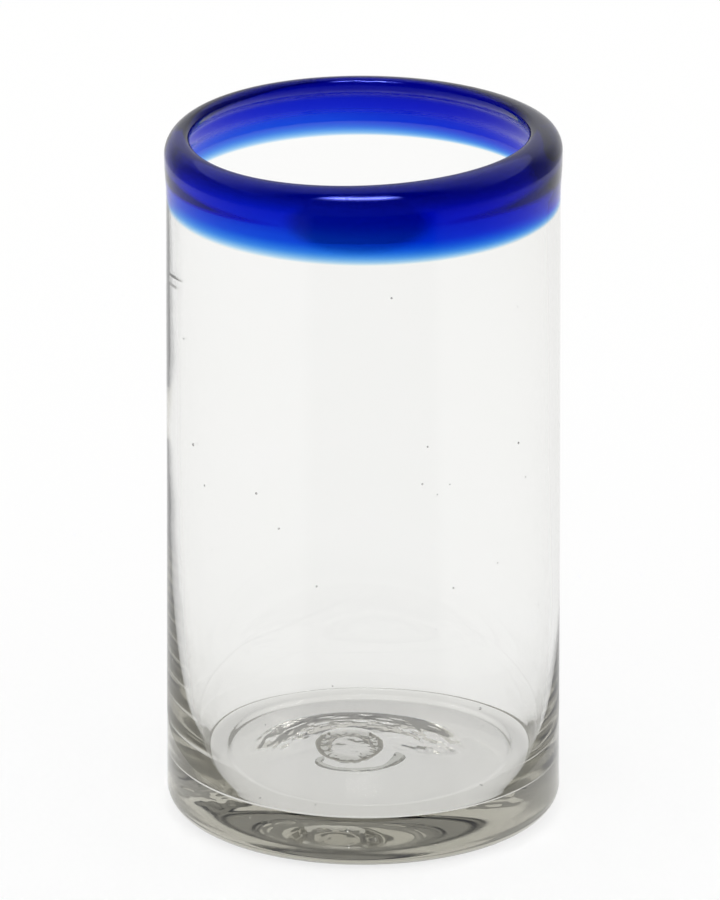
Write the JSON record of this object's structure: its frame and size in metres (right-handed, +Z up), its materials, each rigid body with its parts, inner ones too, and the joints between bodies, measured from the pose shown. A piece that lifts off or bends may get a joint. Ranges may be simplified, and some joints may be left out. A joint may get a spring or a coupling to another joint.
{
  "type": "highball glass",
  "caption": "Straight-sided hand-blown drinking glass of clear glass with a thick rounded cobalt-blue lip, a heavy base and a pontil scar under it.",
  "frame": {"origin": "on the table, at the middle of the foot ring", "axes": "+Z up along the glass's axis to the lip, -Y towards the front, +X to the right as seen from the front"},
  "size_m": [0.0852, 0.0852, 0.153],
  "materials": {
    "clear_glass": "fire-polished clear glass with small air seeds",
    "cobalt_glass": "fire-polished cobalt-blue glass that thins out to clear at its lower edge",
    "broken_glass": "broken clear glass, partly smoothed by the flame"
  },
  "bodies": {
    "root": {"clear_body": "clear_glass", "cobalt_rim": "cobalt_glass", "pontil_scar": "broken_glass"}
  },
  "joints": []
}
